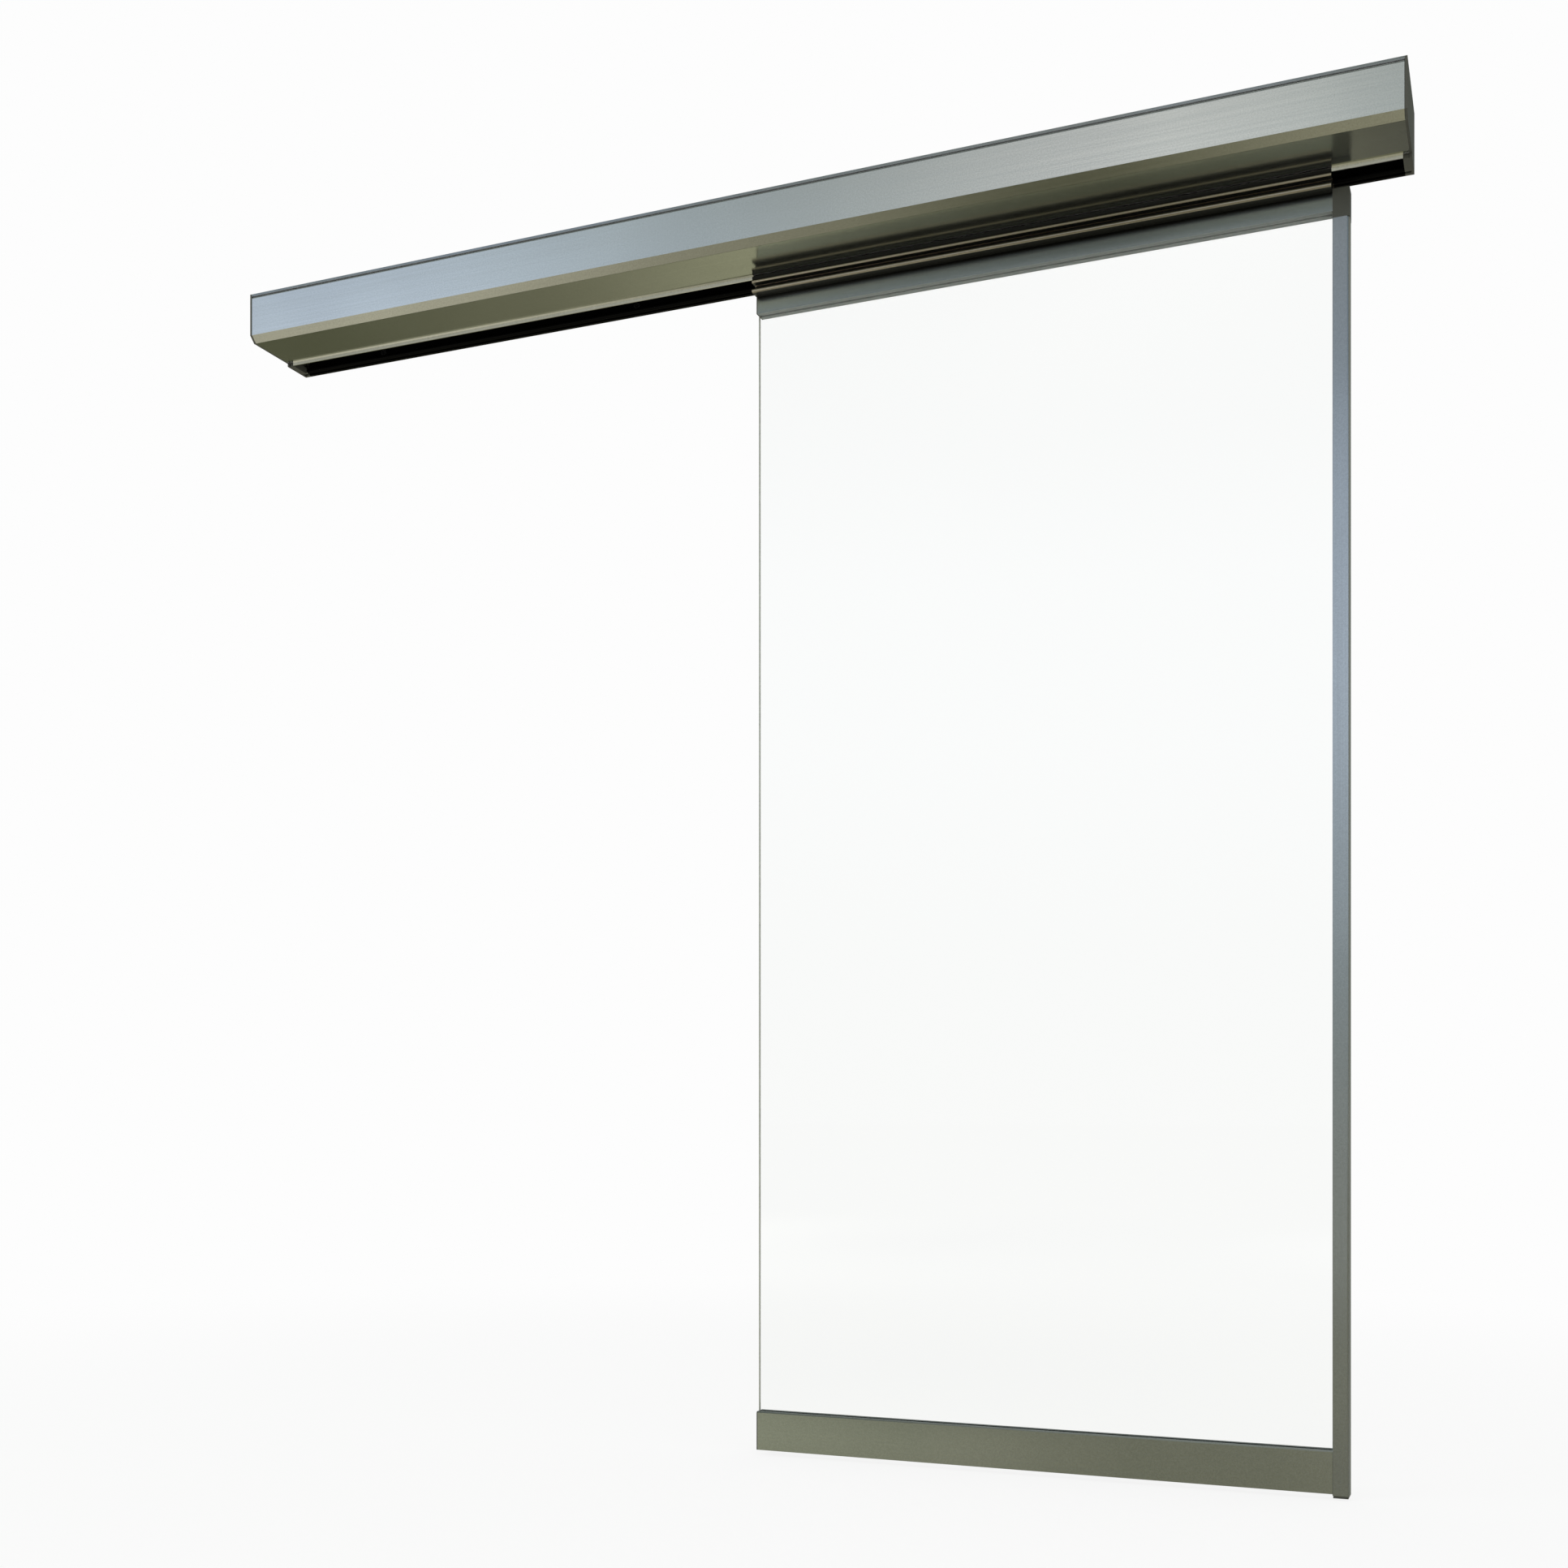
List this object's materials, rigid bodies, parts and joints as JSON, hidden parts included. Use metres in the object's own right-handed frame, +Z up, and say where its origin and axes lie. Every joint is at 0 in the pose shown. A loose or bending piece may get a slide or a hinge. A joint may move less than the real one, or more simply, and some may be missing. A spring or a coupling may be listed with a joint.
{
  "type": "automatic sliding door",
  "caption": "Single-leaf automatic sliding door: glass leaf in aluminium rails, hung on a track in a wall-mounted header that holds the belt drive.",
  "frame": {"origin": "middle of the header's wall face", "axes": "+X to the right seen from the room, +Y into the wall, +Z up"},
  "size_m": [2.2, 0.18, 2.2715],
  "materials": {
    "cover_aluminium": "satin anodised, brushed along its length",
    "carrier_aluminium": "satin anodised extrusion",
    "underside_aluminium": "smooth anodised, semi-gloss",
    "lip_aluminium": "bright anodised",
    "leaf_aluminium": "satin anodised, brushed along its length",
    "track_aluminium": "hard anodised, polished by the wheels",
    "pulley_aluminium": "turned",
    "heat_sink_aluminium": "sawn extrusion",
    "cast_aluminium": "die cast, tumbled",
    "end_cap_plastic": "moulded, fine grain",
    "glass_clear": "clear toughened, polished edges",
    "rubber_black": "extruded",
    "rubber_grey": "extruded",
    "zinc_steel": "zinc plated",
    "screw_steel": "bright zinc plated",
    "axle_steel": "ground",
    "motor_paint": "powder coat",
    "unit_plastic": "moulded",
    "lid_plastic": "moulded",
    "terminal_plastic": "moulded",
    "wheel_plastic": "turned acetal",
    "guide_plastic": "machined nylon",
    "stop_plastic": "moulded"
  },
  "bodies": {
    "root": {"carrier_profile": "carrier_aluminium", "running_track": "track_aluminium", "track_damping_strip": "rubber_black", "end_cap_left": "end_cap_plastic", "end_cap_right": "end_cap_plastic", "end_cap_screws": "screw_steel", "underside_panel": "underside_aluminium", "slot_lip_trim": "lip_aluminium", "panel_brackets": "zinc_steel", "motor_bracket": "zinc_steel", "motor_body": "motor_paint", "gearbox": "cast_aluminium", "control_unit": "unit_plastic", "control_unit_lid": "lid_plastic", "power_supply": "heat_sink_aluminium", "mains_terminal_block": "terminal_plastic", "idler_base": "zinc_steel", "idler_fork": "zinc_steel", "idler_axle": "axle_steel", "tension_screw": "screw_steel", "toothed_belt": "rubber_black", "end_stop_left": "stop_plastic", "end_stop_right": "stop_plastic", "stop_buffers": "rubber_black", "guide_bracket": "zinc_steel", "guide_block": "guide_plastic"},
    "leaf": {"glass_pane": "glass_clear", "hanger_profile": "leaf_aluminium", "top_edge_seal": "rubber_black", "clamp_rail_front": "leaf_aluminium", "clamp_rail_back": "leaf_aluminium", "clamp_screws": "screw_steel", "clamp_gaskets": "rubber_black", "bottom_rail": "leaf_aluminium", "bottom_gasket": "rubber_black", "bottom_rail_cap": "end_cap_plastic", "clamp_rail_cap": "end_cap_plastic", "closing_stile": "leaf_aluminium", "stile_gasket": "rubber_black", "stile_seal": "rubber_grey", "stile_foot": "end_cap_plastic", "carriage_left": "zinc_steel", "carriage_right": "zinc_steel", "wheel_axles": "axle_steel", "roller_axles": "axle_steel", "hanger_bolts": "screw_steel", "hanger_nuts": "screw_steel", "belt_bracket": "zinc_steel", "belt_clamp_plate": "zinc_steel", "belt_clamp_screws": "screw_steel"},
    "wheel_1": {"wheel_1": "wheel_plastic"},
    "wheel_2": {"wheel_2": "wheel_plastic"},
    "wheel_3": {"wheel_3": "wheel_plastic"},
    "wheel_4": {"wheel_4": "wheel_plastic"},
    "counter_roller_1": {"counter_roller_1": "wheel_plastic"},
    "counter_roller_2": {"counter_roller_2": "wheel_plastic"},
    "drive_pulley": {"drive_pulley": "pulley_aluminium", "output_shaft": "axle_steel"},
    "idler_pulley": {"idler_pulley": "pulley_aluminium"},
    "cover": {"front_cover": "cover_aluminium"}
  },
  "joints": [
    {"name": "leaf_slide", "type": "slide", "parent": "root", "child": "leaf", "axis": [-1, 0, 0], "range_m": [0, 1]},
    {"name": "cover_hinge", "type": "hinge", "parent": "root", "child": "cover", "pos_m": [0, -0.175, 0.0407], "axis": [-1, 0, 0], "range_deg": [0, 90]},
    {"name": "wheel_1_spin", "type": "hinge", "parent": "leaf", "child": "wheel_1", "pos_m": [0.026, -0.029, 0.0148], "axis": [0, 1, 0], "continuous": true},
    {"name": "wheel_2_spin", "type": "hinge", "parent": "leaf", "child": "wheel_2", "pos_m": [0.126, -0.029, 0.0148], "axis": [0, 1, 0], "continuous": true},
    {"name": "wheel_3_spin", "type": "hinge", "parent": "leaf", "child": "wheel_3", "pos_m": [0.822, -0.029, 0.0148], "axis": [0, 1, 0], "continuous": true},
    {"name": "wheel_4_spin", "type": "hinge", "parent": "leaf", "child": "wheel_4", "pos_m": [0.922, -0.029, 0.0148], "axis": [0, 1, 0], "continuous": true},
    {"name": "counter_roller_1_spin", "type": "hinge", "parent": "leaf", "child": "counter_roller_1", "pos_m": [0.076, -0.029, -0.0233], "axis": [0, 1, 0], "continuous": true},
    {"name": "counter_roller_2_spin", "type": "hinge", "parent": "leaf", "child": "counter_roller_2", "pos_m": [0.872, -0.029, -0.0233], "axis": [0, 1, 0], "continuous": true},
    {"name": "drive_pulley_spin", "type": "hinge", "parent": "root", "child": "drive_pulley", "pos_m": [-1.03, -0.06, 0.006], "axis": [0, 1, 0], "continuous": true},
    {"name": "idler_pulley_spin", "type": "hinge", "parent": "root", "child": "idler_pulley", "pos_m": [1.03, -0.06, 0.006], "axis": [0, 1, 0], "continuous": true}
  ],
  "couplings": [
    {"joint": "wheel_1_spin", "follows": "leaf_slide", "rad_per_m": -55.556},
    {"joint": "wheel_2_spin", "follows": "leaf_slide", "rad_per_m": -55.556},
    {"joint": "wheel_3_spin", "follows": "leaf_slide", "rad_per_m": -55.556},
    {"joint": "wheel_4_spin", "follows": "leaf_slide", "rad_per_m": -55.556},
    {"joint": "counter_roller_1_spin", "follows": "leaf_slide", "rad_per_m": 142.86},
    {"joint": "counter_roller_2_spin", "follows": "leaf_slide", "rad_per_m": 142.86},
    {"joint": "drive_pulley_spin", "follows": "leaf_slide", "rad_per_m": 49.087},
    {"joint": "idler_pulley_spin", "follows": "leaf_slide", "rad_per_m": 49.087}
  ]
}
